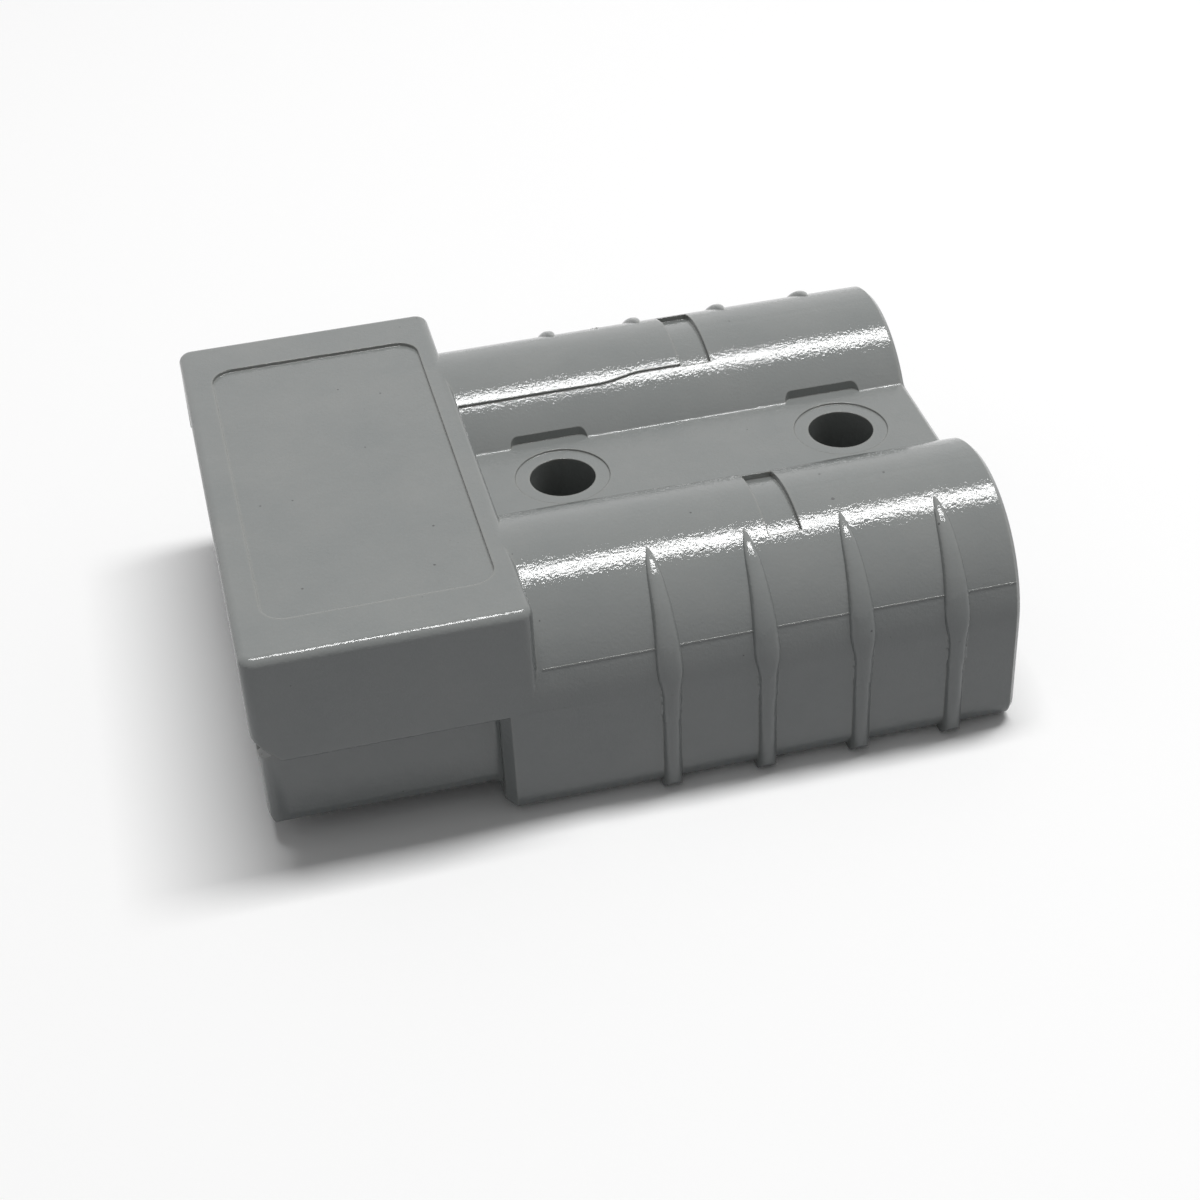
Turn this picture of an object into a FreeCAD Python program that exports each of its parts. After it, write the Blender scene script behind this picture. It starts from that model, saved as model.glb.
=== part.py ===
import FreeCAD
import Part

import math
import os

# A two-pole genderless power connector, in millimetres.
# Two of these plug into each other, one of them turned upside down, so the same
# mould makes both halves. One insulating housing holds two silver-plated contacts,
# each pressed up by a flat leaf spring.
#
# While it is modelled, X runs from the mating face (0) to the cable end, Y from side
# to side with 0 in the middle, and Z up from the surface that the body lies on.
# place() then moves every piece so that the origin is the middle of the underside.

V = FreeCAD.Vector

# Overall sizes of the housing
length = 47.8
body_width = 35.7
height = 15.7

# Hood: the upper front box that goes over the mate's tongue
hood_length = 17.3
hood_wall = 1.25
hood_plate = 1.2
hood_top_round = 0.6
hood_corner_round = 0.9
hood_lip_round = 0.35
hood_nose_run = 1.8
hood_nose_rise = 2.0
panel_front_margin = 1.9
panel_rear_margin = 1.4
panel_side_margin = 3.6
panel_depth = 0.22
panel_round = 1.5

# Tongue: the lower front half that goes into the mate's hood
tongue_setback = 0.35
tongue_depth = 14.8
tongue_side_round = 1.3
tongue_front_round = 1.2
tongue_nose_run = 1.4
tongue_nose_drop = 1.1
trough_width = 9.4
trough_floor = 1.6
trough_lip = 1.1
trough_lip_height = 2.2
tongue_root_round = 0.45

# Clearances between two mated connectors
mate_clearance = 0.2
meeting_gap = 0.05
lead_in = 0.5

# Key ribs in the hood, and the grooves under the tongue that let the mate's ribs in
key_spacing = 15.0
key_width = 1.4
key_height = 0.45
key_setback = 0.9

# Body: two half-round barrels with a flat valley between them
barrel_radius = 7.7
pad_rise = 0.15
valley_depth = 3.3
valley_fillet = 0.35
foot_round = 1.7
body_front_chamfer = 0.6
rear_chamfer = 0.3
channel_width = 7.0
channel_depth = 1.0

# Raised pads on the barrel crests, and the notch that ends each of them
pad_width_front = 7.3
pad_width_rear = 6.5
pad_step_start = 27.0
pad_step_end = 30.2
notch_start = 32.8
notch_length = 2.1
notch_depth = 0.35

# Grip ribs on the outer sides
rib_count = 4
rib_hood_gap = 8.0
rib_rear_gap = 4.2
rib_rise = 0.45
rib_tube = 1.2
rib_flats = 5
rib_flat_angle = 24.0
rib_top_angle = 22.0
rib_stem_radius = 0.6
rib_foot_round = 1.2

# Mounting holes through the web, each with a spot face and a pocket for a screw head
hole_hood_gap = 5.6
hole_rear_gap = 5.9
hole_radius = 2.15
spot_radius = 3.1
spot_depth = 0.12
pocket_length = 5.2
pocket_bite = 0.5
pocket_round = 0.5

# Cable entries and the bores that hold the crimp barrels
entry_radius = 5.7
entry_depth = 9.0
entry_lead_in = 0.4
bore_clearance = 0.25
tunnel_headroom = 0.75
cavity_rear_clearance = 0.35
tunnel_length = 2.6

# Contacts
blade_width = 7.6
blade_thickness = 1.7
blade_tip_setback = 1.9
hook_radius = 1.9
hook_drop = 2.6
blade_hook_bend = 0.8
detent_radius = 1.4
detent_depth = 0.22
detent_inset = 1.7
crimp_outer_radius = 3.8
crimp_inner_radius = 2.85
crimp_length = 15.4
crimp_bore_depth = 13.2
crimp_edge = 0.3
neck_length = 4.6
neck_corner_angle = 25.0
blade_edge = 0.25

# Leaf springs
spring_thickness = 0.5
spring_width = 6.2
spring_bend_radius = 4.0
spring_angle = 30.0
spring_tip_length = 0.8
spring_end_clearance = 0.5
spring_hook_clearance = 0.3
spring_blade_clearance = 0.1

# Places that follow from the sizes above
half_width = body_width / 2.0
meeting_z = height / 2.0
barrel_y = half_width - barrel_radius
barrel_z = height - pad_rise - barrel_radius
valley_z = height - valley_depth
hood_bottom = meeting_z + meeting_gap
tongue_top = meeting_z - meeting_gap
tongue_half_width = half_width - hood_wall - mate_clearance
tongue_bottom = hood_plate + mate_clearance
trough_bottom = tongue_bottom + trough_floor
cavity_rear = tongue_depth + cavity_rear_clearance
tunnel_rear = cavity_rear + tunnel_length
tunnel_top = meeting_z + tunnel_headroom
bore_radius = crimp_outer_radius + bore_clearance
entry_front = length - entry_depth
crimp_front = tunnel_rear + neck_length
blade_bottom = meeting_z - blade_thickness
hook_rear = blade_tip_setback + hook_radius + blade_hook_bend
hole_places = [hood_length + hole_hood_gap, length - hole_rear_gap]
rib_first = hood_length + rib_hood_gap
rib_pitch = (length - rib_rear_gap - rib_first) / (rib_count - 1)
rib_places = [rib_first + i * rib_pitch for i in range(rib_count)]
sides = (-1, 1)

# How far tools run past the faces that they cut, and pieces run into each other
over = 1.0

# How closely an edge has to lie where it is looked for
near = 0.01


def box(x0, x1, y0, y1, z0, z1):
    """A block between two corners."""
    return Part.makeBox(x1 - x0, y1 - y0, z1 - z0, V(x0, y0, z0))


def line(a, b):
    """A straight edge."""
    return Part.makeLine(a, b)


def arc(a, middle, b):
    """A round edge through three points."""
    return Part.Arc(a, middle, b).toShape()


def corner(centre, radius, start, end, plane):
    """A round corner about a centre, from one angle to another, in degrees."""
    points = []
    for angle in (start, (start + end) / 2.0, end):
        across = radius * math.cos(math.radians(angle))
        up = radius * math.sin(math.radians(angle))
        points.append(centre + (V(0, across, up) if plane == "yz" else V(across, 0, up)))
    return arc(*points)


def prism(edges, direction):
    """The solid swept by a closed outline along a direction."""
    return Part.Face(Part.Wire(edges)).extrude(direction)


def polygon(points, direction):
    """The solid swept by a closed polygon along a direction."""
    return Part.Face(Part.makePolygon(points + points[:1])).extrude(direction)


def rod(radius, x0, x1, y, z):
    """A round bar along X."""
    return Part.makeCylinder(radius, x1 - x0, V(x0, y, z), V(1, 0, 0))


def upright(radius, x, y, z0, z1):
    """A round bar along Z."""
    return Part.makeCylinder(radius, z1 - z0, V(x, y, z0), V(0, 0, 1))


def edges_where(shape, test):
    """The edges of a shape whose bounding box passes a test."""
    return [edge for edge in shape.Edges if test(edge.BoundBox)]


def along(low, high, value):
    """Whether an edge lies at one value of an axis."""
    return abs(low - value) < near and abs(high - value) < near


def rounded_slab(x0, x1, half, z0, z1, radius):
    """A flat block with rounded upright corners, centred on Y = 0."""
    slab = box(x0, x1, -half, half, z0, z1)
    uprights = edges_where(slab, lambda b: b.ZLength > b.XLength + b.YLength)
    return slab.makeFillet(radius, uprights)


def foot_block(half, top, radius, x0, x1):
    """A block with its two long bottom corners rounded."""
    edges = [
        line(V(x0, -half + radius, 0), V(x0, half - radius, 0)),
        corner(V(x0, half - radius, radius), radius, -90, 0, "yz"),
        line(V(x0, half, radius), V(x0, half, top)),
        line(V(x0, half, top), V(x0, -half, top)),
        line(V(x0, -half, top), V(x0, -half, radius)),
        corner(V(x0, -half + radius, radius), radius, 180, 270, "yz"),
    ]
    return prism(edges, V(x1 - x0, 0, 0))


def make_body():
    """The rear body: flat sides and foot below, two half-round barrels above."""
    x = tongue_depth
    crest = barrel_z + barrel_radius
    foot = half_width - foot_round
    # the crease between barrel and valley is a small round that touches both
    crease_z = valley_z + valley_fillet
    spread = barrel_radius + valley_fillet
    crease_y = barrel_y - math.sqrt(spread ** 2 - (crease_z - barrel_z) ** 2)
    edges = [line(V(x, -foot, 0), V(x, foot, 0))]
    for side in sides:
        centre = V(x, side * barrel_y, barrel_z)
        hollow = V(x, side * crease_y, crease_z)
        touch = hollow + (centre - hollow) * (valley_fillet / spread)
        low = V(x, side * crease_y, valley_z)
        bend = hollow + ((touch - hollow).normalize() + V(0, 0, -1)).normalize() * valley_fillet
        edges += [
            corner(V(x, side * foot, foot_round), foot_round, -90, -90 + side * 90, "yz"),
            line(V(x, side * half_width, foot_round), V(x, side * half_width, barrel_z)),
            arc(V(x, side * half_width, barrel_z), V(x, side * barrel_y, crest), touch),
            arc(touch, bend, low),
        ]
    edges.append(line(V(x, -crease_y, valley_z), V(x, crease_y, valley_z)))
    body = prism(Part.__sortEdges__(edges), V(length - x, 0, 0))
    rear = edges_where(body, lambda b: along(b.XMin, b.XMax, length))
    body = body.makeChamfer(rear_chamfer, rear)
    front = edges_where(
        body,
        lambda b: along(b.XMin, b.XMax, tongue_depth)
        and b.ZMax < barrel_z + near
        and (b.YMin > foot - near or b.YMax < -foot + near),
    )
    return body.makeChamfer(body_front_chamfer, front)


def make_hood():
    """The hood's outer block, rounded, with its sloped lower front corners."""
    block = rounded_slab(0, hood_length, half_width, hood_bottom, height, hood_corner_round)
    rims = edges_where(block, lambda b: along(b.ZMin, b.ZMax, height))
    block = block.makeFillet(hood_top_round, rims)
    lips = edges_where(block, lambda b: along(b.ZMin, b.ZMax, hood_bottom) and b.XLength > b.YLength + over)
    block = block.makeFillet(hood_lip_round, lips)
    slope = hood_nose_rise / hood_nose_run
    wide = half_width + over
    nose = [
        V(-over, -wide, hood_bottom - over),
        V(hood_nose_run + over / slope, -wide, hood_bottom - over),
        V(-over, -wide, hood_bottom + hood_nose_rise + over * slope),
    ]
    return block.cut(polygon(nose, V(0, 2 * wide, 0)))


def make_tongue():
    """The tongue's outer block: the overlap of its section, side and plan outlines."""
    x0 = tongue_setback
    x1 = tongue_depth + over
    radius = tongue_side_round
    section = foot_block(tongue_half_width, tongue_top - tongue_bottom, radius, x0, x1)
    section.translate(V(0, 0, tongue_bottom))
    y = -tongue_half_width - over
    front = tongue_front_round
    outline = [
        line(V(x1, y, tongue_bottom), V(x0 + front, y, tongue_bottom)),
        corner(V(x0 + front, y, tongue_bottom + front), front, 270, 180, "xz"),
        line(V(x0, y, tongue_bottom + front), V(x0, y, tongue_top - tongue_nose_drop)),
        line(V(x0, y, tongue_top - tongue_nose_drop), V(x0 + tongue_nose_run, y, tongue_top)),
        line(V(x0 + tongue_nose_run, y, tongue_top), V(x1, y, tongue_top)),
        line(V(x1, y, tongue_top), V(x1, y, tongue_bottom)),
    ]
    side = prism(outline, V(0, 2 * (tongue_half_width + over), 0))
    plan = rounded_slab(x0, x1 + radius + over, tongue_half_width, 0, height, radius)
    return section.common(side).common(plan)


def make_rib(x, side):
    """One grip rib: a ring set off centre swells out of the barrel's round and dies
    away below the parting line, where a thin straight stem takes over. The ring's
    round section is cut in a few flats, to keep its surfaces simple."""
    rise_angle = math.sin(math.radians(rib_top_angle))
    offset = rib_rise / (1.0 - rise_angle)
    ring = barrel_radius - rib_tube - offset * rise_angle
    centre = V(x, side * (barrel_y + offset), barrel_z)
    section = []
    for i in range(rib_flats + 1):
        angle = math.radians(rib_flat_angle * (i - rib_flats / 2.0))
        section.append(centre + V(rib_tube * math.sin(angle), 0, ring + rib_tube * math.cos(angle)))
    for point in (section[-1], section[0]):
        section.append(V(point.x, centre.y, centre.z + ring / 2.0))
    hoop = Part.Face(Part.makePolygon(section + section[:1])).revolve(centre, V(1, 0, 0), 360)
    outer = side * (half_width + over)
    inner = side * barrel_y
    low = foot_round
    keep = box(x - 2 * rib_tube, x + 2 * rib_tube, min(outer, inner), max(outer, inner), low, height)
    swell = hoop.common(keep)
    root = side * (half_width + rib_rise - rib_stem_radius)
    stem = upright(rib_stem_radius, x, root, 0, barrel_z)
    web_inner = side * (half_width - foot_round)
    web = box(
        x - rib_stem_radius,
        x + rib_stem_radius,
        min(root, web_inner),
        max(root, web_inner),
        0,
        barrel_z,
    )
    envelope = foot_block(half_width + rib_rise, barrel_z, rib_foot_round, x - over, x + over)
    return swell.fuse(stem.fuse(web).common(envelope))


def make_pad(side):
    """The raised strip along a barrel's crest, narrower towards the notch."""
    crown = rod(barrel_radius + pad_rise, hood_length - over, notch_start, side * barrel_y, barrel_z)
    wide = pad_width_front / 2.0
    slim = pad_width_rear / 2.0
    middle = (pad_step_start + pad_step_end) / 2.0
    y = side * barrel_y
    z = barrel_z
    edges = []
    for way in sides:
        points = [
            V(hood_length - over, y + way * wide, z),
            V(pad_step_start, y + way * wide, z),
            V(middle, y + way * (wide + slim) / 2.0, z),
            V(pad_step_end, y + way * slim, z),
            V(notch_start, y + way * slim, z),
        ]
        curve = Part.BSplineCurve()
        curve.interpolate(
            Points=points[1:4],
            InitialTangent=V(1, 0, 0),
            FinalTangent=V(1, 0, 0),
        )
        edges += [line(points[0], points[1]), curve.toShape(), line(points[3], points[4])]
    edges.append(line(V(hood_length - over, y - wide, z), V(hood_length - over, y + wide, z)))
    edges.append(line(V(notch_start, y - slim, z), V(notch_start, y + slim, z)))
    outline = Part.Wire(Part.__sortEdges__(edges))
    return crown.common(Part.Face(outline).extrude(V(0, 0, height)))


def make_notch(side):
    """The shallow cross slot that ends the raised strip."""
    y = side * barrel_y
    slim = pad_width_rear / 2.0
    x1 = notch_start + notch_length
    block = box(notch_start, x1, y - slim, y + slim, barrel_z, height + over)
    core = rod(barrel_radius - notch_depth, notch_start - over, x1 + over, y, barrel_z)
    return block.cut(core)


def make_channels(side):
    """What one pole takes out of the housing: trough, tunnel, bore and cable entry."""
    y = side * barrel_y
    half = trough_width / 2.0
    lip_rear = tongue_setback + trough_lip
    trough = box(lip_rear, cavity_rear, y - half, y + half, trough_bottom, hood_bottom + over)
    gate = box(-over, lip_rear, y - half, y + half, trough_bottom + trough_lip_height, hood_bottom + over)
    tunnel = box(cavity_rear - over, tunnel_rear + over, y - half, y + half, trough_bottom, tunnel_top)
    bore = rod(bore_radius, tunnel_rear, entry_front, y, barrel_z)
    entry = rod(entry_radius, entry_front, length + over, y, barrel_z)
    lead = Part.makeCone(
        entry_radius, entry_radius + 2 * entry_lead_in, 2 * entry_lead_in,
        V(length - entry_lead_in, y, barrel_z), V(1, 0, 0)
    )
    return [trough, gate, tunnel, bore, entry, lead]


def make_hole(x):
    """A mounting hole with its spot face and the pocket that clears the screw head."""
    drill = upright(hole_radius, x, 0, -over, height)
    spot = upright(spot_radius, x, 0, valley_z - spot_depth, height)
    reach = math.sqrt(barrel_radius ** 2 - (valley_z - barrel_z) ** 2)
    half = barrel_y - reach + pocket_bite
    half_length = pocket_length / 2.0
    pocket = rounded_slab(x - half_length, x + half_length, half, valley_z, height + over, pocket_round)
    return [drill, spot, pocket]


def make_lead_in(half, top):
    """The sloped mouth of the hood's cavity, which guides the mate's tongue in."""
    rings = []
    for x, grow in ((-lead_in, 2 * lead_in), (lead_in, 0.0)):
        low = V(x, -half - grow, tongue_top)
        high = V(x, half + grow, top + grow)
        points = [low, V(x, high.y, low.z), high, V(x, low.y, high.z)]
        rings.append(Part.makePolygon(points + points[:1]))
    return Part.makeLoft(rings, True, True)


def make_keys(floor, direction, width, rise, x0, x1):
    """Two bars of the key pattern on a floor, standing up (1) or hanging down (-1)."""
    z0 = min(floor, floor + direction * rise)
    z1 = max(floor, floor + direction * rise)
    bars = []
    for side in sides:
        y = side * key_spacing / 2.0
        bars.append(box(x0, x1, y - width / 2.0, y + width / 2.0, z0, z1))
    return bars


def make_housing():
    """The one-piece moulded housing."""
    solid = make_body().fuse(make_tongue())
    reach = tongue_half_width + near
    roots = edges_where(
        solid,
        lambda b: along(b.XMin, b.XMax, tongue_depth)
        and b.YMin > -reach and b.YMax < reach
        and b.ZMin > tongue_bottom - near and b.ZMax < tongue_top + near,
    )
    solid = solid.makeFillet(tongue_root_round, roots).fuse(make_hood())
    added = [make_rib(x, side) for x in rib_places for side in sides]
    added += [make_pad(side) for side in sides]
    solid = solid.fuse(added)

    cavity_half = half_width - hood_wall
    cavity = box(-over, cavity_rear, -cavity_half, cavity_half, tongue_top, height - hood_plate)
    flare = make_lead_in(cavity_half, height - hood_plate)
    panel = rounded_slab(
        panel_front_margin,
        hood_length - panel_rear_margin,
        half_width - panel_side_margin,
        height - panel_depth,
        height + over,
        panel_round,
    )
    channel = box(
        tongue_depth - over, length + over, -channel_width / 2.0, channel_width / 2.0, -over, channel_depth
    )
    removed = [cavity, flare, panel, channel]
    for side in sides:
        removed += make_channels(side)
        removed.append(make_notch(side))
    for x in hole_places:
        removed += make_hole(x)
    groove_width = key_width + 2 * mate_clearance
    groove_top = tongue_bottom + key_height
    removed += make_keys(groove_top, -1, groove_width, key_height + over, -over, tongue_depth)
    solid = solid.cut(removed)

    plate = height - hood_plate
    keys = make_keys(plate + over / 2.0, -1, key_width, key_height + over / 2.0, key_setback, cavity_rear)
    return solid.fuse(keys).removeSplitter()


def round_wire(x, z, radius, split):
    """A circle across X in eight arcs, to match the corners of a rounded rectangle."""
    edges = []
    angles = []
    for quarter in range(4):
        angles += [quarter * 90.0 + split, quarter * 90.0 + 90.0 - split]
    angles.append(angles[0] + 360.0)
    for a, b in zip(angles, angles[1:]):
        edges.append(corner(V(x, 0, z), radius, a, b, "yz"))
    return Part.Wire(edges)


def slab_wire(x, z0, z1, width, radius):
    """A rounded rectangle across X in eight edges, starting at its right side."""
    half = width / 2.0
    inner_y = half - radius
    top = z1 - radius
    low = z0 + radius
    edges = [
        corner(V(x, inner_y, top), radius, 0, 90, "yz"),
        line(V(x, inner_y, z1), V(x, -inner_y, z1)),
        corner(V(x, -inner_y, top), radius, 90, 180, "yz"),
        line(V(x, -half, top), V(x, -half, low)),
        corner(V(x, -inner_y, low), radius, 180, 270, "yz"),
        line(V(x, -inner_y, z0), V(x, inner_y, z0)),
        corner(V(x, inner_y, low), radius, 270, 360, "yz"),
        line(V(x, half, low), V(x, half, top)),
    ]
    return Part.Wire(edges)


def make_contact():
    """One contact on Y = 0: a hooked flat blade that opens into a crimp barrel."""
    half = blade_width / 2.0
    tip = blade_tip_setback
    top = meeting_z
    centre_x = tip + hook_radius
    centre_z = top - hook_radius
    foot = top - hook_drop
    inner = blade_hook_bend
    y = -half
    outline = [
        corner(V(centre_x, y, centre_z), hook_radius, 180, 90, "xz"),
        line(V(centre_x, y, top), V(tunnel_rear, y, top)),
        line(V(tunnel_rear, y, top), V(tunnel_rear, y, blade_bottom)),
        line(V(tunnel_rear, y, blade_bottom), V(centre_x + inner, y, blade_bottom)),
        line(V(centre_x + inner, y, blade_bottom), V(centre_x - inner, y, foot)),
        line(V(centre_x - inner, y, foot), V(tip, y, foot)),
        line(V(tip, y, foot), V(tip, y, centre_z)),
    ]
    blade = prism(outline, V(0, blade_width, 0))
    long_edges = edges_where(
        blade,
        lambda b: along(b.ZMin, b.ZMax, top) and b.XLength > b.YLength + over,
    )
    blade = blade.makeChamfer(blade_edge, long_edges)
    detent_x = tongue_depth - detent_inset
    detent = Part.makeCylinder(
        detent_radius, blade_width + 2 * over,
        V(detent_x, -half - over, top + detent_radius - detent_depth), V(0, 1, 0)
    )
    blade = blade.cut(detent)

    slab = slab_wire(tunnel_rear, blade_bottom, top, blade_width, blade_edge * 2)
    ring = round_wire(crimp_front, barrel_z, crimp_outer_radius, neck_corner_angle)
    neck = Part.makeLoft([slab, ring], True, True)
    crimp = rod(crimp_outer_radius, crimp_front, crimp_front + crimp_length, 0, barrel_z)
    rims = edges_where(crimp, lambda b: along(b.XMin, b.XMax, crimp_front + crimp_length))
    crimp = crimp.makeChamfer(crimp_edge, rims)
    rear = crimp_front + crimp_length
    bore = rod(crimp_inner_radius, rear - crimp_bore_depth, rear + over, 0, barrel_z)
    funnel = Part.makeCone(
        crimp_inner_radius, crimp_inner_radius + crimp_edge + over, crimp_edge + over,
        V(rear - crimp_edge, 0, barrel_z), V(1, 0, 0)
    )
    return blade.fuse([neck, crimp]).cut([bore, funnel]).removeSplitter()


def ribbon(start, heading, steps, thickness, width):
    """A flat strip that follows straight and round steps in the XZ plane.

    Each step is (length, 0, 0) for a straight run, or (0, radius, turn) for a bend,
    with the turn in degrees, positive to the left of the way that the strip runs.
    """
    place = V(start.x, start.y - width / 2.0, start.z)
    angle = math.radians(heading)
    left = []
    right = []
    for run, radius, turn in steps:
        ahead = V(math.cos(angle), 0, math.sin(angle))
        side = V(-math.sin(angle), 0, math.cos(angle)) * (thickness / 2.0)
        if run:
            ahead_place = place + ahead * run
            left.append(line(place + side, ahead_place + side))
            right.append(line(place - side, ahead_place - side))
            place = ahead_place
            continue
        way = 1 if turn > 0 else -1
        centre = place + V(-math.sin(angle), 0, math.cos(angle)) * (way * radius)
        spokes = []
        for part in (0.0, 0.5, 1.0):
            bent = angle + math.radians(turn) * part
            spokes.append(V(math.sin(bent), 0, -math.cos(bent)) * way)
        left.append(arc(*[centre + spoke * (radius - way * thickness / 2.0) for spoke in spokes]))
        right.append(arc(*[centre + spoke * (radius + way * thickness / 2.0) for spoke in spokes]))
        place = centre + spokes[2] * radius
        angle += math.radians(turn)
    edges = left + right
    edges.append(line(left[0].Vertexes[0].Point, right[0].Vertexes[0].Point))
    edges.append(line(left[-1].Vertexes[-1].Point, right[-1].Vertexes[-1].Point))
    outline = Part.Wire(Part.__sortEdges__(edges))
    return Part.Face(outline).extrude(V(0, width, 0))


def make_spring():
    """One leaf spring on Y = 0: flat on the trough's floor, bowed up to the blade."""
    angle = math.radians(spring_angle)
    start_x = tunnel_rear - spring_end_clearance
    bed = trough_bottom + spring_thickness / 2.0
    crown = blade_bottom - spring_blade_clearance - spring_thickness / 2.0
    bends = 2 * spring_bend_radius * (1.0 - math.cos(angle))
    slope = (crown - bed - bends) / math.sin(angle)
    bowed = 3 * spring_bend_radius * math.sin(angle) + (slope + spring_tip_length) * math.cos(angle)
    flat = start_x - hook_rear - spring_hook_clearance - bowed
    steps = [
        (flat, 0, 0),
        (0, spring_bend_radius, -spring_angle),
        (slope, 0, 0),
        (0, spring_bend_radius, 2 * spring_angle),
        (spring_tip_length, 0, 0),
    ]
    return ribbon(V(start_x, 0, bed), 180.0, steps, spring_thickness, spring_width)


def place(shape, y):
    """Moves a piece from the modelling frame to the part's own frame."""
    moved = shape.copy()
    moved.translate(V(-length / 2.0, y, 0))
    return moved


def make_parts():
    """Every piece of the connector, by name."""
    parts = {"housing": place(make_housing(), 0)}
    for name, side in (("left", -1), ("right", 1)):
        parts["contact_" + name] = place(make_contact(), side * barrel_y)
        parts["leaf_spring_" + name] = place(make_spring(), side * barrel_y)
    return parts


def main():
    """Builds the pieces and writes one file for each."""
    os.makedirs("parts", exist_ok=True)
    for name, shape in make_parts().items():
        shape.exportStep("parts/" + name + ".step")
        bounds = shape.BoundBox
        print(
            name, "solids", len(shape.Solids), "valid", shape.isValid(),
            "volume", round(shape.Volume, 2),
            "size", round(bounds.XLength, 3), round(bounds.YLength, 3), round(bounds.ZLength, 3),
        )


main()
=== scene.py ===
"""The looks of a two-pole genderless power connector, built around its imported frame."""

from __future__ import annotations

import logging
import math
from collections.abc import Callable
from dataclasses import dataclass, field
from enum import Enum

import bmesh
import bpy
from mathutils import Matrix, Quaternion, Vector


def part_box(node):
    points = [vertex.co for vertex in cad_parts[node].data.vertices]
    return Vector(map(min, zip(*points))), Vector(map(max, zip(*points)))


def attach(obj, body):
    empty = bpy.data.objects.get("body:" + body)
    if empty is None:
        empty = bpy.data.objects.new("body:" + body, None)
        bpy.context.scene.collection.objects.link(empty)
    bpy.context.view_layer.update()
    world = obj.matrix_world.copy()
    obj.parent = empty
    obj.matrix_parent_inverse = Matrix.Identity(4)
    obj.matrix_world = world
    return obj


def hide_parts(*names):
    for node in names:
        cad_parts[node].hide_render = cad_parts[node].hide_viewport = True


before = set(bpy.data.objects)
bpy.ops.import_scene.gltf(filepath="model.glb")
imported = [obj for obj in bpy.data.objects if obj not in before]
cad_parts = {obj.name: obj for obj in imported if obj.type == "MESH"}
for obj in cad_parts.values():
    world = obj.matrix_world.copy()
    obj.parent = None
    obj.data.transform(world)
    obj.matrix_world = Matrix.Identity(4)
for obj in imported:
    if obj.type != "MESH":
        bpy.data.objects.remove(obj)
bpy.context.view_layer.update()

log = logging.getLogger("connector")

MM = 0.001
BODY = "root"
MERGE_REACH = 0.002 * MM
MELT_REACH = 0.02 * MM
FLAT_DEG = 0.4
AXIS_LIKENESS = 0.99995
TINY = 1e-9


class Side(Enum):
    """The two poles, with the sign of their Y."""

    LEFT = -1
    RIGHT = 1


class Slot(Enum):
    """The record's material slots."""

    HOUSING = "housing_grey"
    CONTACT = "contact_silver"
    SPRING = "spring_steel"


@dataclass
class Graph:
    """A node tree with short calls to grow it."""

    tree: bpy.types.NodeTree

    def add(self, kind: str, **values: object) -> bpy.types.Node:
        """Adds a node.

        Args:
            kind: The node's type, without its leading ShaderNode.
            values: Properties of the node, such as operation or data_type.

        Returns:
            The new node.
        """
        node = self.tree.nodes.new("ShaderNode" + kind)
        for name, value in values.items():
            setattr(node, name, value)
        return node

    def link(self, source: bpy.types.NodeSocket, target: bpy.types.NodeSocket) -> None:
        """Joins two sockets."""
        self.tree.links.new(source, target)

    def feed(self, node: bpy.types.Node, name: str | int, value: object) -> None:
        """Sets an input of a node, or links a socket to it.

        Args:
            node: The node that has the input.
            name: The input's name or number.
            value: A plain value, or the socket that it comes from.
        """
        if isinstance(value, bpy.types.NodeSocket):
            self.link(value, node.inputs[name])
        else:
            node.inputs[name].default_value = value

    def work_out(
        self, operation: str, *terms: object, clamp: bool = False
    ) -> bpy.types.NodeSocket:
        """A Math node.

        Args:
            operation: Its operation, such as MULTIPLY.
            terms: Its inputs, as numbers or sockets.
            clamp: Whether the result stays between 0 and 1.

        Returns:
            The node's output.
        """
        node = self.add("Math", operation=operation, use_clamp=clamp)
        for index, term in enumerate(terms):
            self.feed(node, index, term)
        return node.outputs[0]

    def span(
        self, value: object, low: float, high: float, out_low: float, out_high: float
    ) -> bpy.types.NodeSocket:
        """A Map Range node that keeps to its range.

        Args:
            value: The socket to be mapped.
            low: The value that becomes out_low.
            high: The value that becomes out_high.
            out_low: The first result.
            out_high: The last result.

        Returns:
            The node's output.
        """
        node = self.add("MapRange", clamp=True)
        for name, entry in zip(
            ("Value", "From Min", "From Max", "To Min", "To Max"), (value, low, high, out_low, out_high)
        ):
            self.feed(node, name, entry)
        return node.outputs[0]

    def noise(
        self, vector: object, scale: object, detail: float = 2.0, rough: float = 0.5
    ) -> bpy.types.NodeSocket:
        """A noise value.

        Args:
            vector: The coordinates' socket.
            scale: Waves in a metre.
            detail: How many finer octaves are added.
            rough: How strong the finer octaves are.

        Returns:
            The value's socket.
        """
        node = self.add("TexNoise")
        self.feed(node, "Vector", vector)
        self.feed(node, "Scale", scale)
        self.feed(node, "Detail", detail)
        self.feed(node, "Roughness", rough)
        return node.outputs["Fac"]

    def blend(self, fac: object, first: object, second: object) -> bpy.types.NodeSocket:
        """A mix of two colours.

        Args:
            fac: How much of the second one shows.
            first: The first colour.
            second: The second colour.

        Returns:
            The colour's socket.
        """
        node = self.add("Mix", data_type="RGBA")
        self.feed(node, 0, fac)
        self.feed(node, 6, first)
        self.feed(node, 7, second)
        return node.outputs[2]

    def group(self, tree: bpy.types.NodeTree, **values: object) -> bpy.types.Node:
        """Places a node group.

        Args:
            tree: The group.
            values: Its inputs, with spaces in their names written as underscores.

        Returns:
            The group's node.
        """
        node = self.add("Group", node_tree=tree)
        for name, value in values.items():
            self.feed(node, name.replace("_", " "), value)
        return node


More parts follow.
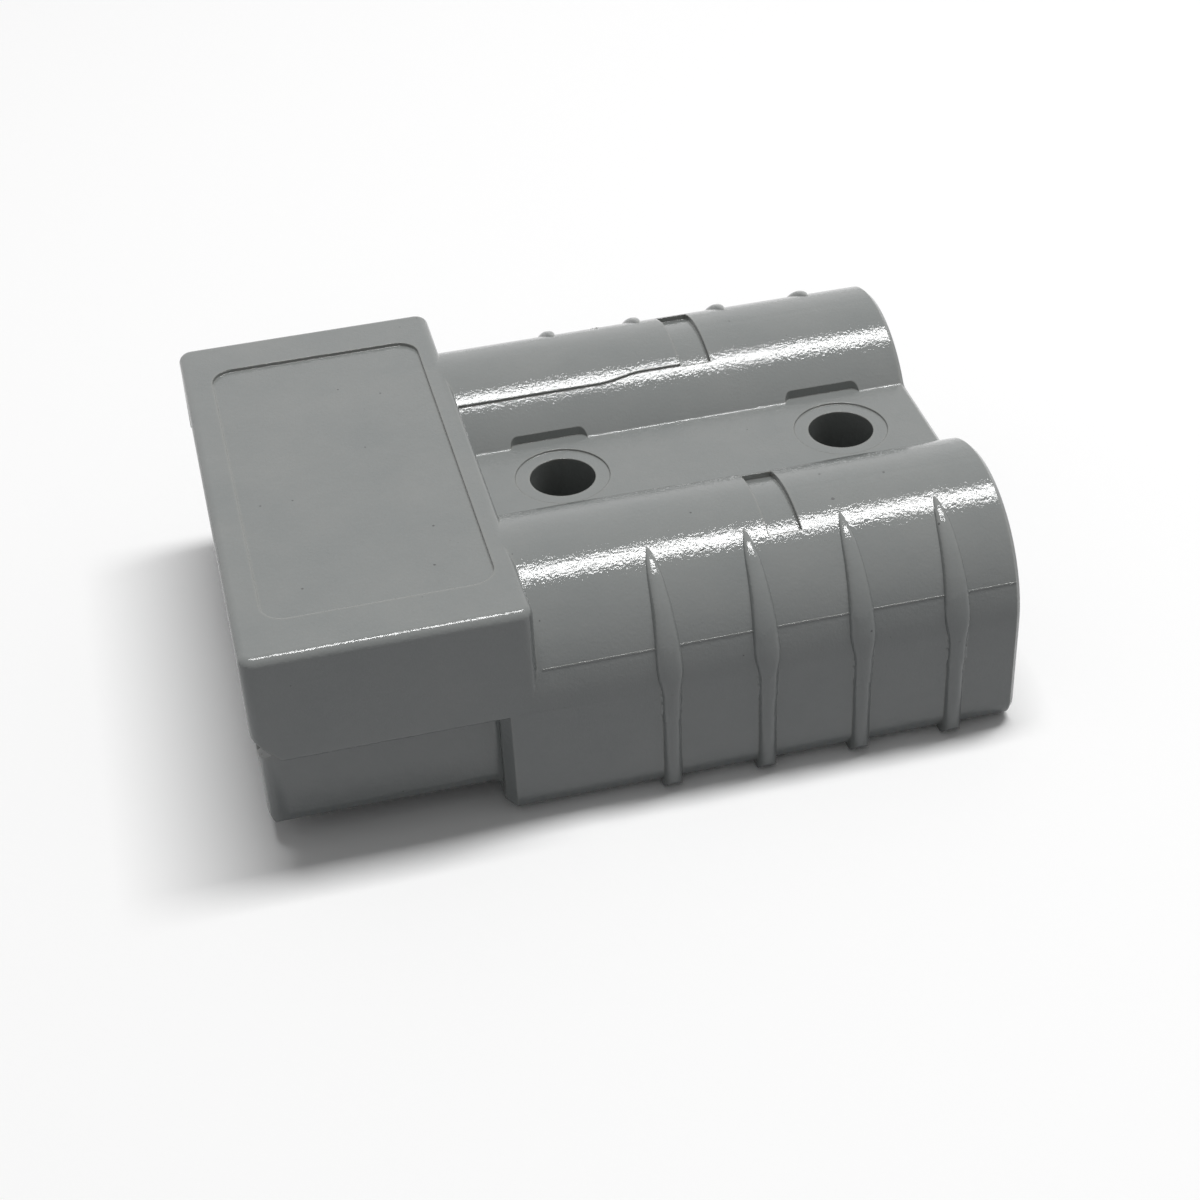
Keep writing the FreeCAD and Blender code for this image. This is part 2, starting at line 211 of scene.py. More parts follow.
def group_tree(
    name: str, inputs: dict[str, float | None], outputs: dict[str, str]
) -> tuple[Graph, dict, dict]:
    """Starts a shader node group.

    Args:
        name: The group's name.
        inputs: Each number input with its default, and None for a vector.
        outputs: Each output with its socket type.

    Returns:
        The graph, its input sockets and its output sockets, by name.
    """
    tree = bpy.data.node_groups.new(name, "ShaderNodeTree")
    for label, value in inputs.items():
        kind = "NodeSocketVector" if value is None else "NodeSocketFloat"
        socket = tree.interface.new_socket(label, in_out="INPUT", socket_type=kind)
        if value is not None:
            socket.default_value = value
    for label, kind in outputs.items():
        tree.interface.new_socket(label, in_out="OUTPUT", socket_type=kind)
    graph = Graph(tree)
    entry = tree.nodes.new("NodeGroupInput")
    leave = tree.nodes.new("NodeGroupOutput")
    return graph, {s.name: s for s in entry.outputs}, {s.name: s for s in leave.inputs}


class Effects:
    """The effects that several finishes share, each a node group that is built once."""

    def __init__(self) -> None:
        """Builds every group."""
        self.peel = self.orange_peel()
        self.edges = self.soft_edges()
        self.specks = self.scattered_specks()
        self.mottle = self.cloudy_mottle()
        self.drag = self.drag_lines()

    @staticmethod
    def orange_peel() -> bpy.types.NodeTree:
        """The faint waviness of a moulded or plated surface, as a height.

        Returns:
            The group.
        """
        graph, has, gives = group_tree(
            "orange_peel", {"Vector": None, "Scale": 2600.0, "Coarse": 0.35}, {"Height": "NodeSocketFloat"}
        )
        fine = graph.noise(has["Vector"], has["Scale"], 2.0, 0.55)
        wide = graph.noise(has["Vector"], graph.work_out("MULTIPLY", has["Scale"], 0.22), 1.0, 0.4)
        heavy = graph.work_out("MULTIPLY", wide, has["Coarse"])
        graph.link(graph.work_out("ADD", fine, heavy), gives["Height"])
        return graph.tree

    @staticmethod
    def soft_edges() -> bpy.types.NodeTree:
        """Rounds the look of sharp edges, and marks where they are.

        Returns:
            The group.
        """
        graph, has, gives = group_tree(
            "soft_edges", {"Radius": 0.00012, "Wear Radius": 0.0003},
            {"Normal": "NodeSocketVector", "Edge": "NodeSocketFloat"},
        )
        near = graph.add("Bevel", samples=6)
        graph.link(has["Radius"], near.inputs["Radius"])
        graph.link(near.outputs["Normal"], gives["Normal"])
        # The wider bevel only marks sharp edges; the plastic uses that mark for its painted edge glow.
        wide = graph.add("Bevel", samples=4)
        graph.link(has["Wear Radius"], wide.inputs["Radius"])
        plain = graph.add("NewGeometry")
        dot = graph.add("VectorMath", operation="DOT_PRODUCT")
        graph.link(wide.outputs["Normal"], dot.inputs[0])
        graph.link(plain.outputs["Normal"], dot.inputs[1])
        graph.link(graph.span(dot.outputs["Value"], 0.999, 0.80, 0.0, 1.0), gives["Edge"])
        return graph.tree

    @staticmethod
    def scattered_specks() -> bpy.types.NodeTree:
        """Tiny spots in a few of the cells of a grid, as a mask.

        Returns:
            The group.
        """
        graph, has, gives = group_tree(
            "scattered_specks", {"Vector": None, "Scale": 420.0, "Share": 0.1, "Size": 0.06},
            {"Mask": "NodeSocketFloat"},
        )
        cells = graph.add("TexVoronoi")
        graph.link(has["Vector"], cells.inputs["Vector"])
        graph.link(has["Scale"], cells.inputs["Scale"])
        pick = graph.add("SeparateColor")
        graph.link(cells.outputs["Color"], pick.inputs[0])
        kept = graph.work_out("LESS_THAN", pick.outputs[0], has["Share"])
        reach = graph.work_out("MULTIPLY", has["Size"], graph.work_out("ADD", pick.outputs[1], 0.25))
        near = graph.work_out("LESS_THAN", cells.outputs["Distance"], reach)
        graph.link(graph.work_out("MULTIPLY", kept, near), gives["Mask"])
        return graph.tree

    @staticmethod
    def cloudy_mottle() -> bpy.types.NodeTree:
        """A slow, cloudy change over the surface, from 0 to 1.

        Returns:
            The group.
        """
        graph, has, gives = group_tree(
            "cloudy_mottle", {"Vector": None, "Scale": 160.0}, {"Value": "NodeSocketFloat"}
        )
        wide = graph.noise(has["Vector"], has["Scale"], 4.0, 0.6)
        graph.link(graph.span(wide, 0.3, 0.7, 0.0, 1.0), gives["Value"])
        return graph.tree

    @staticmethod
    def drag_lines() -> bpy.types.NodeTree:
        """Fine lines along X, as rolling, wiping or sliding leaves them.

        Returns:
            The group.
        """
        graph, has, gives = group_tree(
            "drag_lines", {"Vector": None, "Across": 9000.0, "Along": 120.0}, {"Value": "NodeSocketFloat"}
        )
        stretch = graph.add("CombineXYZ")
        graph.link(has["Along"], stretch.inputs[0])
        graph.link(has["Across"], stretch.inputs[1])
        graph.link(has["Across"], stretch.inputs[2])
        scaled = graph.add("VectorMath", operation="MULTIPLY")
        graph.link(has["Vector"], scaled.inputs[0])
        graph.link(stretch.outputs[0], scaled.inputs[1])
        lines = graph.noise(scaled.outputs["Vector"], 1.0, 3.0, 0.6)
        graph.link(graph.span(lines, 0.3, 0.7, 0.0, 1.0), gives["Value"])
        return graph.tree


@dataclass(frozen=True)
class MouldedPlastic:
    """The housing's glossy moulded plastic."""

    colour: tuple[float, float, float, float] = (0.212, 0.225, 0.221, 1.0)
    pale: tuple[float, float, float, float] = (0.236, 0.246, 0.240, 1.0)
    # Painted edge glow: a lighter, warmer colour on sharp edges that stands in for their highlight and
    # translucency.
    painted_edge_glow: tuple[float, float, float, float] = (0.290, 0.292, 0.272, 1.0)
    dust: tuple[float, float, float, float] = (0.020, 0.020, 0.020, 1.0)
    roughness: float = 0.045
    matte: float = 0.085
    peel_depth: float = 0.00002
    ior: float = 1.55
    translucent: float = 0.05
    bleed: float = 0.0009

    def build(self, effects: Effects) -> bpy.types.Material:
        """Makes the material.

        Args:
            effects: The shared node groups.

        Returns:
            The finished material.
        """
        material, graph, shader, place = start_material("moulded_plastic")
        mottle = graph.group(effects.mottle, Vector=place, Scale=190.0)
        edges = graph.group(effects.edges, Radius=0.00013, Wear_Radius=0.00035)
        specks = graph.group(effects.specks, Vector=place, Scale=520.0, Share=0.07, Size=0.07)
        flakes = graph.group(effects.specks, Vector=place, Scale=1500.0, Share=0.05, Size=0.10)
        peel = graph.group(effects.peel, Vector=place, Scale=4800.0, Coarse=0.8)

        body = graph.blend(mottle.outputs[0], self.colour, self.pale)
        # Painted light: sharp edges are lightened to stand in for the highlight and translucency there.
        painted_glow_share = graph.work_out("MULTIPLY", edges.outputs["Edge"], 0.55)
        with_painted_glow = graph.blend(painted_glow_share, body, self.painted_edge_glow)
        marks = graph.work_out("MAXIMUM", specks.outputs[0], flakes.outputs[0])
        spotted = graph.blend(graph.work_out("MULTIPLY", marks, 0.75), with_painted_glow, self.dust)
        graph.link(spotted, shader.inputs["Base Color"])

        gloss = graph.span(mottle.outputs[0], 0.0, 1.0, self.roughness, self.matte)
        dulled = graph.work_out("ADD", gloss, graph.work_out("MULTIPLY", marks, 0.3))
        graph.link(dulled, shader.inputs["Roughness"])

        bump = graph.add("Bump")
        bump.inputs["Strength"].default_value = 1.0
        bump.inputs["Distance"].default_value = self.peel_depth
        graph.link(peel.outputs[0], bump.inputs["Height"])
        graph.link(edges.outputs["Normal"], bump.inputs["Normal"])
        graph.link(bump.outputs[0], shader.inputs["Normal"])
        shader.inputs["IOR"].default_value = self.ior
        shader.inputs["Subsurface Weight"].default_value = self.translucent
        shader.inputs["Subsurface Radius"].default_value = (1.0, 0.85, 0.7)
        shader.inputs["Subsurface Scale"].default_value = self.bleed
        return material


@dataclass(frozen=True)
class SilverPlate:
    """Satin silver over copper, with wipe lines and a little tarnish."""

    colour: tuple[float, float, float, float] = (0.86, 0.84, 0.80, 1.0)
    tarnish: tuple[float, float, float, float] = (0.62, 0.53, 0.40, 1.0)
    roughness: float = 0.24
    dull: float = 0.42

    def build(self, effects: Effects) -> bpy.types.Material:
        """Makes the material.

        Args:
            effects: The shared node groups.

        Returns:
            The finished material.
        """
        material, graph, shader, place = start_material("silver_plate")
        mottle = graph.group(effects.mottle, Vector=place, Scale=420.0)
        lines = graph.group(effects.drag, Vector=place, Across=9000.0, Along=260.0)
        edges = graph.group(effects.edges, Radius=0.0001, Wear_Radius=0.0003)
        peel = graph.group(effects.peel, Vector=place, Scale=5200.0, Coarse=0.4)
        clouds = graph.span(mottle.outputs[0], 0.55, 1.0, 0.0, 0.5)
        graph.link(graph.blend(clouds, self.colour, self.tarnish), shader.inputs["Base Color"])
        mixed = graph.work_out("MULTIPLY", graph.work_out("ADD", mottle.outputs[0], lines.outputs[0]), 0.5)
        graph.link(graph.span(mixed, 0.0, 1.0, self.roughness, self.dull), shader.inputs["Roughness"])
        height = graph.work_out("ADD", peel.outputs[0], lines.outputs[0])
        bump = graph.add("Bump")
        bump.inputs["Strength"].default_value = 1.0
        bump.inputs["Distance"].default_value = 0.000004
        graph.link(height, bump.inputs["Height"])
        graph.link(edges.outputs["Normal"], bump.inputs["Normal"])
        graph.link(bump.outputs[0], shader.inputs["Normal"])
        shader.inputs["Metallic"].default_value = 1.0
        return material


@dataclass(frozen=True)
class RolledSteel:
    """Bare stainless strip with its rolling lines."""

    colour: tuple[float, float, float, float] = (0.58, 0.57, 0.55, 1.0)
    dark: tuple[float, float, float, float] = (0.44, 0.43, 0.42, 1.0)
    roughness: float = 0.26
    dull: float = 0.44

    def build(self, effects: Effects) -> bpy.types.Material:
        """Makes the material.

        Args:
            effects: The shared node groups.

        Returns:
            The finished material.
        """
        material, graph, shader, place = start_material("rolled_steel")
        lines = graph.group(effects.drag, Vector=place, Across=14000.0, Along=180.0)
        edges = graph.group(effects.edges, Radius=0.00006, Wear_Radius=0.0002)
        mottle = graph.group(effects.mottle, Vector=place, Scale=600.0)
        graph.link(graph.blend(mottle.outputs[0], self.dark, self.colour), shader.inputs["Base Color"])
        graph.link(
            graph.span(lines.outputs[0], 0.0, 1.0, self.roughness, self.dull), shader.inputs["Roughness"]
        )
        bump = graph.add("Bump")
        bump.inputs["Strength"].default_value = 1.0
        bump.inputs["Distance"].default_value = 0.000003
        graph.link(lines.outputs[0], bump.inputs["Height"])
        graph.link(edges.outputs["Normal"], bump.inputs["Normal"])
        graph.link(bump.outputs[0], shader.inputs["Normal"])
        shader.inputs["Metallic"].default_value = 1.0
        return material


def start_material(name: str) -> tuple[bpy.types.Material, Graph, bpy.types.Node, bpy.types.NodeSocket]:
    """Starts a node material.

    Args:
        name: The material's name.

    Returns:
        The material, its graph, its Principled BSDF and the socket of the object's coordinates.
    """
    material = bpy.data.materials.new(name)
    material.use_nodes = True
    graph = Graph(material.node_tree)
    shader = next(node for node in graph.tree.nodes if node.type == "BSDF_PRINCIPLED")
    return material, graph, shader, graph.add("TexCoord").outputs["Object"]


def merged_copy(
    node: str,
    name: str,
    sharp_deg: float,
    reshape: Callable[[bmesh.types.BMesh], None] | None = None,
    facing: Callable[[bmesh.types.BMesh], list[Vector]] | None = None,
) -> bpy.types.Object:
    """Copies a node's mesh into one closed, smoothly shaded skin.

    Args:
        node: The node's name.
        name: The new piece's name.
        sharp_deg: Edges that turn by more than this stay sharp.
        reshape: What is done to the merged mesh before it is shaded.
        facing: What gives the normal of each corner of each face, if they are known.

    Returns:
        The new piece; the node itself is hidden.
    """
    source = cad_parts[node]
    mesh = source.data.copy()
    mesh.name = name
    skin = bmesh.new()
    skin.from_mesh(mesh)
    bmesh.ops.remove_doubles(skin, verts=skin.verts, dist=MERGE_REACH)
    if reshape is not None:
        reshape(skin)
    bmesh.ops.dissolve_limit(
        skin, angle_limit=math.radians(FLAT_DEG), use_dissolve_boundaries=False,
        verts=skin.verts, edges=skin.edges,
    )
    for face in skin.faces:
        face.smooth = True
    limit = math.radians(sharp_deg)
    for edge in skin.edges:
        edge.smooth = len(edge.link_faces) == 2 and edge.calc_face_angle(0.0) < limit
    skin.normal_update()
    known = facing(skin) if facing is not None else []
    skin.to_mesh(mesh)
    skin.free()
    piece = bpy.data.objects.new(name, mesh)
    bpy.context.scene.collection.objects.link(piece)
    if known:
        mesh.normals_split_custom_set(known)
    else:
        weights = piece.modifiers.new("even_normals", "WEIGHTED_NORMAL")
        weights.keep_sharp = True
        weights.weight = 100
    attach(piece, BODY)
    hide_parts(node)
    return piece


def dress(piece: bpy.types.Object, material: bpy.types.Material, slot: Slot) -> None:
    """Gives a piece its finish.

    Args:
        piece: The piece.
        material: Its finish.
        slot: The record's slot that the finish stands for; not used.
    """
    piece.data.materials.clear()
    piece.data.materials.append(material)


@dataclass
class Housing:
    """The one-piece moulded housing: its skin, its grip ribs and the mould's witness lines."""

    plastic: bpy.types.Material
    sharp_deg: float = 33.0
    witness_z: float = 10.8 * MM
    parting_rise: float = 0.035 * MM
    parting_width: float = 0.16 * MM
    barrel_z: float = 7.85 * MM
    body_front: float = 17.6 * MM
    barrel_y: float = 10.15 * MM
    barrel_radius: float = 7.7 * MM
    pad_rise: float = 0.15 * MM
    pad_half: float = 3.25 * MM
    rib_rise: float = 0.45 * MM
    rib_top: float = math.radians(22.0)
    hoop_tube: float = 1.2 * MM
    stem_radius: float = 0.6 * MM
    barrel_slack: float = 0.02 * MM
    rib_slack: float = 0.04 * MM
    stem_slack: float = 0.03 * MM
    barrel_likeness: float = 0.995
    rib_likeness: float = 0.965
    stem_likeness: float = 0.97
    hood_end: float = 16.7 * MM
    knee_z: float = 5.8 * MM
    rib_count: int = 4
    rib_first: float = 1.4 * MM
    rib_pitch: float = 6.1 * MM
    rib_tip: float = math.radians(18.0)
    rib_tail: float = 1.0 * MM
    rib_sunk: float = 0.25 * MM
    rib_side_power: float = 0.8
    rib_top_power: float = 0.6
    rib_around: int = 24
    rib_along: int = 56
    rib_heights: tuple[tuple[float, float], ...] = (
        (0.0, -0.03), (0.5, 0.09), (1.2, 0.22), (2.4, 0.35), (4.0, 0.42), (6.0, 0.445), (11.5, 0.445),
        (13.0, 0.2),
    )
    rib_widths: tuple[tuple[float, float], ...] = (
        (0.0, 0.0), (0.5, 0.17), (1.2, 0.34), (2.4, 0.50), (4.5, 0.66), (6.6, 0.80), (8.0, 0.85), (8.6, 0.81),
        (9.5, 0.64), (10.0, 0.61), (11.8, 0.60), (13.0, 0.45),
    )
    pieces: list[bpy.types.Object] = field(default_factory=list)

    @property
    def body_half(self) -> float:
        """Half the body's width between its flat sides."""
        return self.barrel_y + self.barrel_radius

    @property
    def pad_radius(self) -> float:
        """The radius of the raised strips on the barrels."""
        return self.barrel_radius + self.pad_rise

    @property
    def hoop_shift(self) -> float:
        """How far the rib hoops' axis lies outside the barrel's."""
        return self.rib_rise / (1.0 - math.sin(self.rib_top))

    @property
    def hoop_y(self) -> float:
        """The Y of the rib hoops' axis."""
        return self.barrel_y + self.hoop_shift

    @property
    def hoop_radius(self) -> float:
        """The radius of the circle that the hoops' tube runs around."""
        return self.barrel_radius - self.hoop_tube - self.hoop_shift * math.sin(self.rib_top)

    @property
    def stem_y(self) -> float:
        """The Y of the rib stems' axes."""
        return self.body_half + self.rib_rise - self.stem_radius

    @property
    def rib_places(self) -> list[float]:
        """The X of each rib."""
        return [self.rib_first + number * self.rib_pitch for number in range(self.rib_count)]

    def build(self) -> list[bpy.types.Object]:
        """Makes the housing's pieces.

        Returns:
            The pieces.
        """
        skin = merged_copy(
            "housing", "housing_shell", self.sharp_deg, self.melt_outer_steps, self.corner_ways
        )
        dress(skin, self.plastic, Slot.HOUSING)
        self.pieces.append(skin)
        for side in Side:
            self.pieces.append(self.parting_line(side))
            self.pieces += [self.grip_rib(side, number) for number in range(self.rib_count)]
        return self.pieces

    def melt_outer_steps(self, skin: bmesh.types.BMesh) -> None:
        """Runs the raised strips out flush on the outer sides, and clears room for fuller ribs.

        Args:
            skin: The housing's merged mesh.
        """
        low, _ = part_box("housing")
        step = self.pad_radius - self.barrel_radius
        for vertex in skin.verts:
            place = vertex.co
            out = abs(place.y) - self.barrel_y
            up = place.z - self.barrel_z
            on_pad = abs(math.hypot(out, up) - self.pad_radius) < step / 4 and up > 0.0
            if on_pad and out > 0.0 and place.x > low.x + self.hood_end:
                share = min(out / self.pad_half, 1.0)
                radius = self.pad_radius - step * share * share * (3.0 - 2.0 * share)
                vertex.co.z = self.barrel_z + math.sqrt(radius * radius - out * out)
        for vertex in skin.verts:
            place = vertex.co
            side = math.copysign(1.0, place.y)
            out = side * place.y - self.barrel_y
            up = place.z - self.barrel_z
            along = min(abs(place.x - rib) for rib in self.rib_places)
            if along > self.hoop_tube or out < self.pad_half:
                continue
            reach = math.hypot(out, up)
            if up > 0.0 and reach > self.barrel_radius:
                vertex.co.y = side * (self.barrel_y + out * self.barrel_radius / reach)
                vertex.co.z = self.barrel_z + up * self.barrel_radius / reach
            elif self.knee_z < place.z <= self.barrel_z and along > self.stem_radius:
                vertex.co.y = side * min(abs(place.y), self.body_half)
        bmesh.ops.remove_doubles(skin, verts=skin.verts, dist=MELT_REACH)

    def grip_rib(self, side: Side, number: int) -> bpy.types.Object:
        """One grip rib's swell, from its pointed tip on the barrel down to its straight stem.

        Args:
            side: The side that it stands on.
            number: Which of the ribs it is.

        Returns:
            The piece.
        """
        arc = (math.pi / 2 - self.rib_tip) * self.barrel_radius
        end = arc + self.barrel_z - self.knee_z + self.rib_tail
        swell = bmesh.new()
        bmesh.ops.create_uvsphere(
            swell, u_segments=self.rib_around, v_segments=self.rib_along, radius=1.0
        )
        for vertex in swell.verts:
            place = vertex.co.copy()
            done = math.acos(max(-1.0, min(1.0, place.z))) / math.pi * end
            ring = max(math.hypot(place.x, place.y), TINY)
            across = math.copysign(abs(place.x / ring) ** self.rib_side_power, place.x)
            rise = math.copysign(abs(place.y / ring) ** self.rib_top_power, place.y)
            if min(done, end - done) < TINY:
                across = rise = 0.0
            height = self.read(self.rib_heights, done) + self.rib_sunk
            reach = self.barrel_radius - self.rib_sunk + rise * height
            turn = min(self.rib_tip + done / self.barrel_radius, math.pi / 2)
            vertex.co = Vector((
                self.rib_places[number] + across * self.read(self.rib_widths, done),
                side.value * (self.barrel_y + reach * math.sin(turn)),
                self.barrel_z + reach * math.cos(turn) - max(done - arc, 0.0),
            ))
        bmesh.ops.recalc_face_normals(swell, faces=swell.faces)
        for face in swell.faces:
            face.smooth = True
        return self.moulded_piece("grip_rib_%s_%d" % (side.name.lower(), number + 1), swell)

    def moulded_piece(self, name: str, skin: bmesh.types.BMesh) -> bpy.types.Object:
        """Turns a finished skin into a piece of the housing.

        Args:
            name: The piece's name.
            skin: Its skin, which is freed.

        Returns:
            The piece, in the housing's plastic.
        """
        mesh = bpy.data.meshes.new(name)
        skin.to_mesh(mesh)
        skin.free()
        piece = bpy.data.objects.new(name, mesh)
        bpy.context.scene.collection.objects.link(piece)
        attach(piece, BODY)
        dress(piece, self.plastic, Slot.HOUSING)
        return piece

    @staticmethod
    def read(table: tuple[tuple[float, float], ...], done: float) -> float:
        """Reads a size from a table of millimetres.

        Args:
            table: Pairs of the distance from the rib's tip and the size there.
            done: The distance from the tip, in metres.

        Returns:
            The size in metres.
        """
        for (start, low), (stop, high) in zip(table, table[1:]):
            if done <= stop * MM:
                share = (done / MM - start) / (stop - start)
                return (low + (high - low) * share) * MM
        return table[-1][1] * MM

    def barrel_way(self, place: Vector) -> tuple[Vector, float]:
        """The barrels' outward direction at a place, and how far off their skin it is."""
        side = math.copysign(1.0, place.y)
        way = Vector((0.0, place.y - side * self.barrel_y, place.z - self.barrel_z))
        low = self.barrel_radius - self.barrel_slack
        high = self.pad_radius + self.barrel_slack
        miss = max(low - way.length, way.length - high, -way.z, 0.0)
        return way.normalized(), miss

    def rib_way(self, place: Vector) -> tuple[Vector, float]:
        """The rib swells' outward direction at a place, and how far off their skin it is."""
        side = math.copysign(1.0, place.y)
        along = min((place.x - rib for rib in self.rib_places), key=abs)
        spoke = Vector((0.0, place.y - side * self.hoop_y, place.z - self.barrel_z))
        way = spoke - spoke.normalized() * self.hoop_radius
        way.x = along
        return way.normalized(), max(abs(way.length - self.hoop_tube) - self.rib_slack, 0.0)

    def stem_way(self, place: Vector) -> tuple[Vector, float]:
        """The rib stems' outward direction at a place, and how far off their skin it is."""
        side = math.copysign(1.0, place.y)
        along = min((place.x - rib for rib in self.rib_places), key=abs)
        way = Vector((along, place.y - side * self.stem_y, 0.0))
        return way.normalized(), max(abs(way.length - self.stem_radius) - self.stem_slack, 0.0)

    def surface(self, face: bmesh.types.BMFace) -> Callable[[Vector], Vector] | None:
        """Finds the moulded surface that a face is a facet of.

        Args:
            face: The face.

        Returns:
            What gives that surface's direction at a place, or None where the surface isn't known.
        """
        way = face.normal.copy()
        if max(abs(part) for part in way) > AXIS_LIKENESS:
            return lambda place: way
        middle = face.calc_center_median()
        shapes = (
            (self.barrel_way, self.barrel_likeness),
            (self.rib_way, self.rib_likeness),
            (self.stem_way, self.stem_likeness),
        )
        for shape, likeness in shapes:
            guess, miss = shape(middle)
            if miss == 0.0 and guess.dot(way) > likeness:
                return lambda place, shape=shape: shape(place)[0]
        return None

    def corner_ways(self, skin: bmesh.types.BMesh) -> list[Vector]:
        """Works out each face corner's normal from the moulded surfaces, not from the facets.

        Args:
            skin: The housing's merged mesh.

        Returns:
            The normals in the order of the corners, a zero one where the mesh's own is to be used.
        """
        surfaces = {face: self.surface(face) for face in skin.faces}
        near = math.cos(math.radians(self.sharp_deg))
        ways = []
        for face in skin.faces:
            own = surfaces[face]
            for corner in face.loops:
                place = corner.vert.co
                if own is not None:
                    ways.append(own(place))
                    continue
                known = [surfaces[other] for other in corner.vert.link_faces]
                beside = [surface(place) for surface in known if surface is not None]
                best = max(beside, key=face.normal.dot, default=Vector())
                ways.append(best if face.normal.dot(best) > near else Vector())
        return ways

    def parting_line(self, side: Side) -> bpy.types.Object:
        """The thin witness line where the mould's halves meet, along one side.

        Args:
            side: The side that it runs along.

        Returns:
            The piece.
        """
        low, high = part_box("housing")
        start = low.x + self.body_front
        end = high.x - self.parting_width * 2
        line = bmesh.new()
        bmesh.ops.create_cube(line, size=1.0)
        depth = self.parting_rise * 2
        bmesh.ops.scale(line, vec=(end - start, depth, self.parting_width), verts=line.verts)
        rise = self.witness_z - self.barrel_z
        out = self.barrel_y + math.sqrt(self.barrel_radius ** 2 - rise ** 2)
        place = Vector(((start + end) / 2, side.value * out, self.witness_z))
        bmesh.ops.translate(line, vec=place, verts=line.verts)
        long_edges = [e for e in line.edges if abs(e.verts[0].co.x - e.verts[1].co.x) > self.parting_width]
        bmesh.ops.bevel(
            line, geom=long_edges, offset=self.parting_rise * 0.8, offset_type="OFFSET", affect="EDGES",
            segments=2, profile=0.5, material=-1,
        )
        return self.moulded_piece("parting_line_" + side.name.lower(), line)


@dataclass
class Pole:
    """One pole: its contact and the leaf spring below it."""

    side: Side
    plate: bpy.types.Material
    steel: bpy.types.Material
    contact_sharp_deg: float = 30.0
    spring_sharp_deg: float = 40.0

    def build(self) -> list[bpy.types.Object]:
        """Makes the pole's pieces.

        Returns:
            The pieces.
        """
        name = self.side.name.lower()
        contact = merged_copy("contact_" + name, "plated_contact_" + name, self.contact_sharp_deg)
        dress(contact, self.plate, Slot.CONTACT)
        spring = merged_copy("leaf_spring_" + name, "steel_spring_" + name, self.spring_sharp_deg)
        dress(spring, self.steel, Slot.SPRING)
        return [contact, spring]


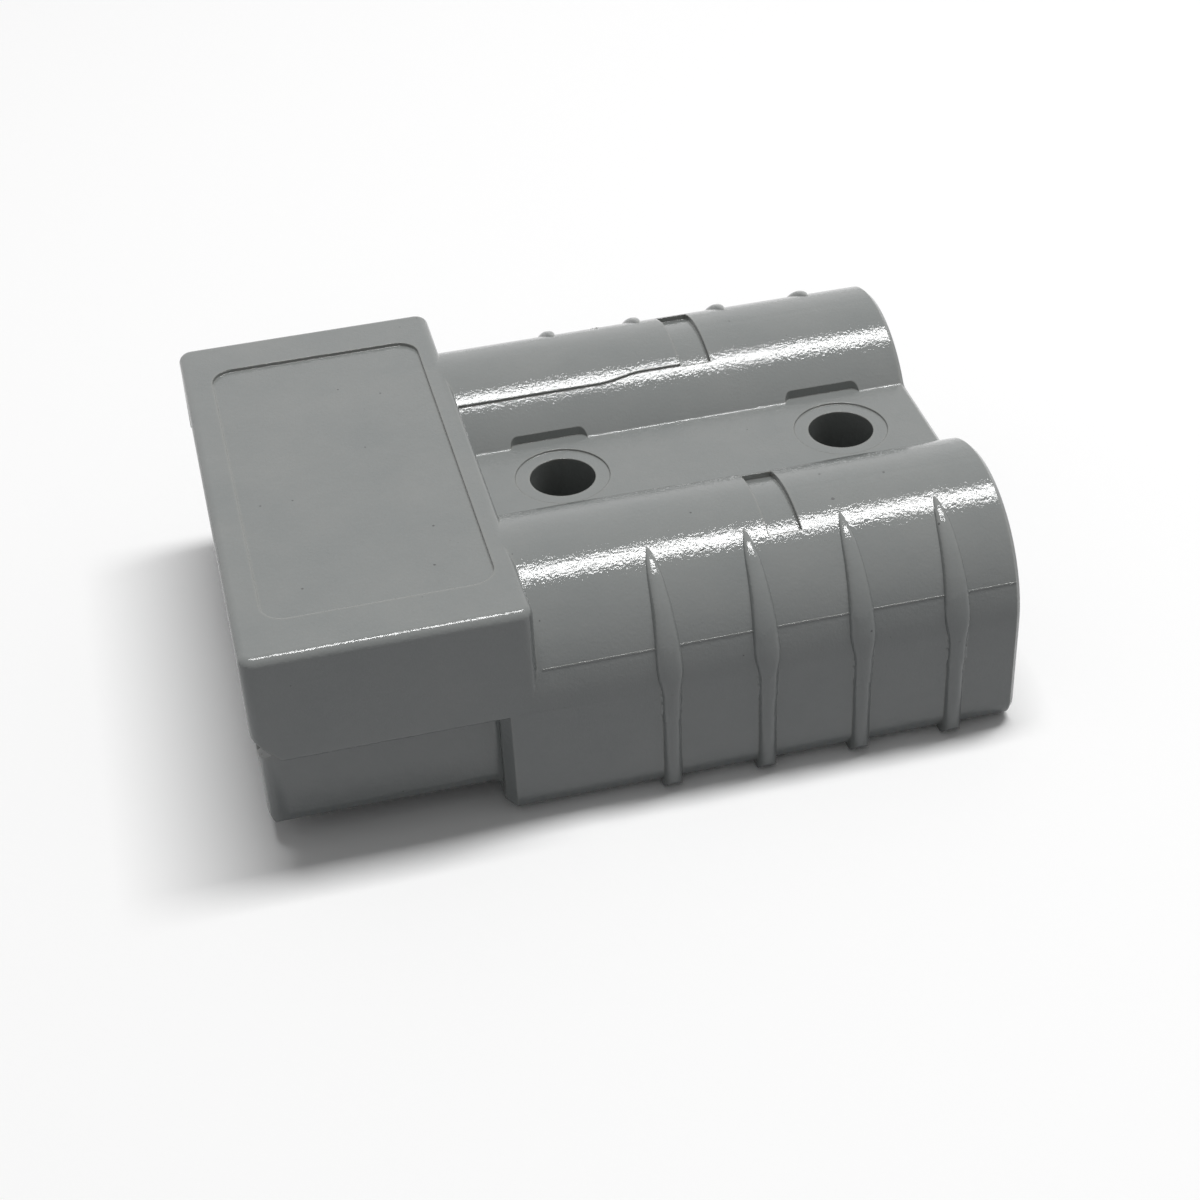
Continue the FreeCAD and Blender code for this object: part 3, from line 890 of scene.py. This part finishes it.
@dataclass
class Studio:
    """The pale floor, the overhead softbox, the white surroundings and the camera."""

    floor_half: float = 1.6
    floor_seen: tuple[float, float, float, float] = (1.0, 1.0, 1.0, 1.0)
    floor_bounce: tuple[float, float, float, float] = (0.31, 0.32, 0.34, 1.0)
    fill_level: float = 0.22
    softbox_aim: tuple[float, float, float] = (0.165, 0.10, 0.98)
    softbox_far: float = 0.6
    softbox_long: float = 0.43
    softbox_wide: float = 0.12
    softbox_level: float = 18.5
    aim: tuple[float, float, float] = (-0.595 * MM, -7.830 * MM, 7.85 * MM)
    distance: float = 147.48 * MM
    heading_deg: float = 11.97
    elevation_deg: float = 37.47
    roll_deg: float = -2.896
    lens_mm: float = 69.43

    def build(self) -> None:
        """Sets the stage."""
        self.lay_floor()
        self.hang_softbox()
        self.surround()
        self.place_camera()
        bpy.context.scene.view_settings.view_transform = "Standard"

    def lay_floor(self) -> None:
        """The pale floor: white to the eye and in reflections, and it keeps the shadow."""
        slab = bmesh.new()
        bmesh.ops.create_grid(slab, x_segments=1, y_segments=1, size=self.floor_half)
        mesh = bpy.data.meshes.new("floor")
        slab.to_mesh(mesh)
        slab.free()
        floor = bpy.data.objects.new("floor", mesh)
        bpy.context.scene.collection.objects.link(floor)
        material, graph, shader, _ = start_material("pale_floor")
        shown = graph.blend(self.seen(graph), self.floor_bounce, self.floor_seen)
        graph.link(shown, shader.inputs["Base Color"])
        shader.inputs["Roughness"].default_value = 0.6
        shader.inputs["Specular IOR Level"].default_value = 0.2
        mesh.materials.append(material)

    @staticmethod
    def seen(graph: Graph) -> bpy.types.NodeSocket:
        """Whether the eye sees a surface, itself or in a reflection.

        Args:
            graph: The graph that asks.

        Returns:
            A socket that is 1 where it does.
        """
        path = graph.add("LightPath")
        through = path.outputs["Is Transmission Ray"]
        mirrored = graph.work_out("MAXIMUM", path.outputs["Is Glossy Ray"], through)
        return graph.work_out("MAXIMUM", path.outputs["Is Camera Ray"], mirrored)

    def hang_softbox(self) -> None:
        """The overhead softbox, whose strip of light lies along the barrels."""
        lamp = bpy.data.lights.new("softbox", "AREA")
        lamp.shape = "RECTANGLE"
        lamp.size = self.softbox_long
        lamp.size_y = self.softbox_wide
        lamp.energy = self.softbox_level * math.pi * lamp.size * lamp.size_y
        way = Vector(self.softbox_aim).normalized()
        box = bpy.data.objects.new("softbox", lamp)
        box.rotation_mode = "QUATERNION"
        box.location = way * self.softbox_far
        across = Vector((0.0, 1.0, 0.0))
        along = across.cross(way).normalized()
        turn = Matrix((along, way.cross(along).normalized(), way)).transposed()
        box.rotation_quaternion = turn.to_quaternion()
        bpy.context.scene.collection.objects.link(box)

    def surround(self) -> None:
        """White surroundings for the eye and for reflections, and a soft fill for the rest."""
        world = bpy.data.worlds.new("surroundings")
        bpy.context.scene.world = world
        world.use_nodes = True
        graph = Graph(world.node_tree)
        shade = next(node for node in graph.tree.nodes if node.type == "BACKGROUND")
        shade.inputs["Color"].default_value = (1.0, 1.0, 1.0, 1.0)
        graph.link(graph.span(self.seen(graph), 0.0, 1.0, self.fill_level, 1.0), shade.inputs["Strength"])

    def place_camera(self) -> None:
        """The camera at the photograph's viewing angle."""
        heading = math.radians(self.heading_deg)
        elevation = math.radians(self.elevation_deg)
        way = Vector((
            math.sin(heading) * math.cos(elevation),
            math.cos(heading) * math.cos(elevation),
            -math.sin(elevation),
        ))
        lens = bpy.data.cameras.new("camera")
        lens.sensor_width = 36.0
        lens.lens = self.lens_mm
        lens.clip_start = 0.01
        camera = bpy.data.objects.new("camera", lens)
        camera.rotation_mode = "QUATERNION"
        camera.location = Vector(self.aim) - way * self.distance
        roll = Quaternion((0.0, 0.0, 1.0), math.radians(self.roll_deg))
        camera.rotation_quaternion = way.to_track_quat("-Z", "Y") @ roll
        bpy.context.scene.collection.objects.link(camera)
        bpy.context.scene.camera = camera


def main() -> None:
    """Builds the studio and dresses every piece."""
    logging.basicConfig(level=logging.INFO)
    effects = Effects()
    Studio().build()
    pieces = Housing(MouldedPlastic().build(effects)).build()
    plate = SilverPlate().build(effects)
    steel = RolledSteel().build(effects)
    for side in Side:
        pieces += Pole(side, plate, steel).build()
    for piece in pieces:
        log.info("%s has %d faces", piece.name, len(piece.data.polygons))


if __name__ == "__main__":
    main()
